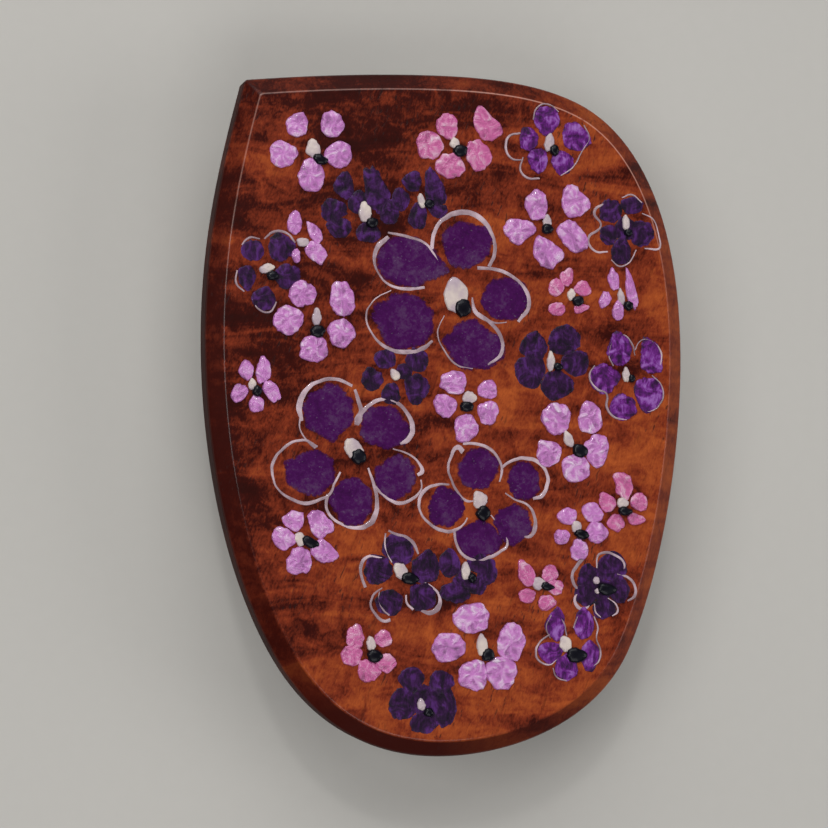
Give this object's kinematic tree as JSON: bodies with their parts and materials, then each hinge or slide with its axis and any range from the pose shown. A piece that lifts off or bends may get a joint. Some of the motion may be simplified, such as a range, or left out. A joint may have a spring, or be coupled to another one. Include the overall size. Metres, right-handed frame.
{
  "type": "barrette",
  "caption": "Rounded, bevelled hardwood plate painted with small five-petalled flowers, carried on a sprung steel clip with a hinged arm and a pinch latch.",
  "frame": {"origin": "under the middle of the plate's outline, level with the lowest point of the clip", "axes": "+Z out of the painted face, +Y along the plate and the clip from the latch to the hinge, +X to the right seen from the front"},
  "size_m": [0.055, 0.076, 0.0148],
  "materials": {
    "lacquered_wood": "curly reddish hardwood under gloss lacquer, painted with flowers",
    "flower_paint": "thick brushed acrylic in orchid, pink, violet and near black",
    "epoxy": "cured clear amber glue",
    "plated_steel": "bright nickel plating on pressed steel",
    "spring_steel": "satin nickel plating on spring steel",
    "screw_brass": "turned brass, lightly tarnished"
  },
  "bodies": {
    "plate": {"wood_plate": "lacquered_wood", "epoxy_bed": "epoxy", "base_bar": "plated_steel", "screw_hinge_end": "screw_brass", "screw_latch_end": "screw_brass", "hinge_pin": "plated_steel", "latch_web": "plated_steel", "latch_rivet": "plated_steel"},
    "clasp": {"clasp_arm": "plated_steel"},
    "bow": {"tension_bow": "spring_steel"},
    "prong_left": {"latch_prong_left": "spring_steel"},
    "prong_right": {"latch_prong_right": "spring_steel"}
  },
  "joints": [
    {"name": "clasp_hinge", "type": "hinge", "parent": "plate", "child": "clasp", "pos_m": [0, 0.028, 0.0068], "axis": [1, 0, 0], "range_deg": [0, 80]},
    {"name": "bow_hinge", "type": "hinge", "parent": "plate", "child": "bow", "pos_m": [0, 0.028, 0.0068], "axis": [1, 0, 0], "range_deg": [0, 24]},
    {"name": "prong_pinch_right", "type": "hinge", "parent": "plate", "child": "prong_right", "pos_m": [0.00135, -0.025, 0.00799], "axis": [0, 1, 0], "range_deg": [0, 6], "stiffness_Nm_per_rad": 0.2},
    {"name": "prong_pinch_left", "type": "hinge", "parent": "plate", "child": "prong_left", "pos_m": [-0.00135, -0.025, 0.00799], "axis": [0, -1, 0], "range_deg": [0, 6], "stiffness_Nm_per_rad": 0.2}
  ],
  "couplings": [
    {"joint": "bow_hinge", "follows": "clasp_hinge", "ratio": 0.3}
  ]
}
